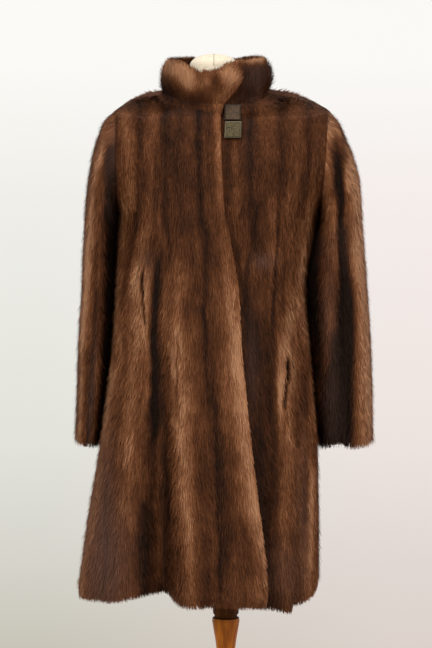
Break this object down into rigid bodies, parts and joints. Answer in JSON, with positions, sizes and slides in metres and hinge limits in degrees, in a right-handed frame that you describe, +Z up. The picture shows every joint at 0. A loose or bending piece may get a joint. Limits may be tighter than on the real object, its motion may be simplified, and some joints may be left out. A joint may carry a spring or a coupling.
{
  "type": "fur coat on a dress form",
  "caption": "Knee-length fur coat with a stand-up collar, lapped fluted fronts and a metal neck clasp, worn by a limbless dress form on a turned wooden stand.",
  "frame": {"origin": "the middle of the stand's underside, on the floor, where the rod's and column's axis meets it", "axes": "+Z up; the coat's front faces -Y; +X to the viewer's right, which is the wearer's left"},
  "size_m": [0.536, 0.3624, 1.5178],
  "materials": {
    "fur": "dense glossy brown fur, lighter and darker in upright pelt stripes",
    "clasp_metal": "dark aged bronze, mottled",
    "form_cloth": "plain cream linen",
    "rod_steel": "brushed steel rod",
    "dark_wood": "dark stained wood, satin",
    "stand_wood": "orange-brown varnished hardwood"
  },
  "bodies": {
    "root": {"front_right": "fur", "front_left": "fur", "back": "fur", "sleeve_right": "fur", "sleeve_left": "fur", "collar": "fur", "clasp_upper": "clasp_metal", "clasp_lower": "clasp_metal", "form_torso": "form_cloth", "form_cap": "form_cloth", "stand_rod": "rod_steel", "stand_ring": "dark_wood", "stand_column": "stand_wood", "stand_base": "stand_wood"}
  },
  "joints": []
}
